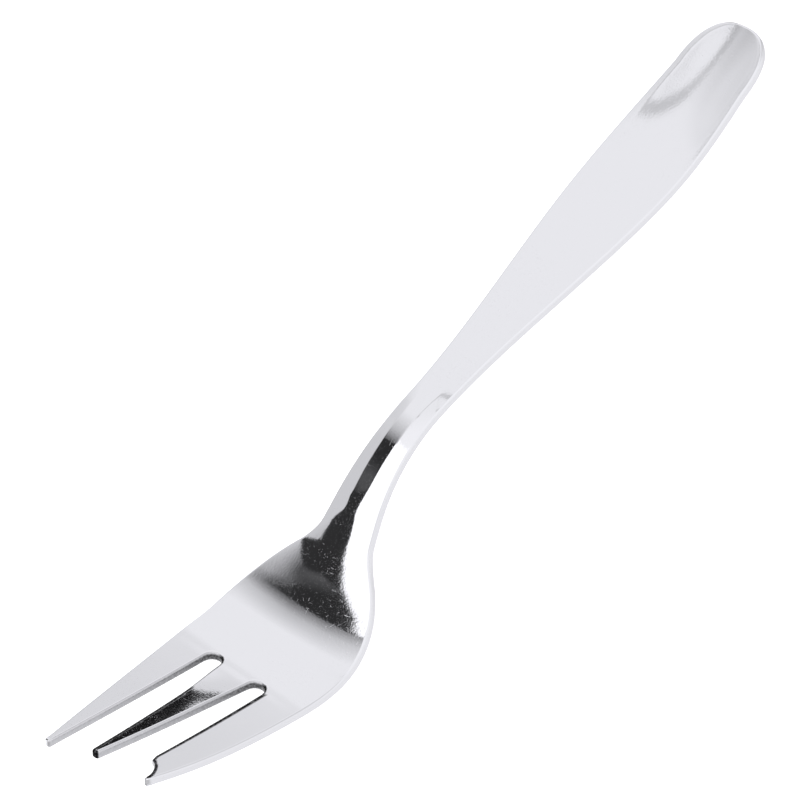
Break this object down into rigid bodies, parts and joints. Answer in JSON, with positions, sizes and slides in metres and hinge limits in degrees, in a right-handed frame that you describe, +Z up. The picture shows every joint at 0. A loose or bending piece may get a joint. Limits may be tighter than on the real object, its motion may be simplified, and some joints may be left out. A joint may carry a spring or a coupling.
{
  "type": "oyster fork",
  "caption": "Small stamped stainless fork for oysters: flat rounded handle, dropped neck, broad upturned head with slim tines and a wide cutting tine that has a bite out of its tip.",
  "frame": {"origin": "on the table, under the fork's axis at the middle of its length, with the fork lying face up on its heel and the end of its handle", "axes": "+X along the fork to the handle end, +Y to the side of the plain outer tine, +Z up"},
  "size_m": [0.1382, 0.0247, 0.0223],
  "materials": {
    "steel": "polished"
  },
  "bodies": {
    "root": {"handle": "steel", "neck": "steel", "palm": "steel", "outer_tine": "steel", "middle_tine": "steel", "cutting_tine": "steel"}
  },
  "joints": []
}
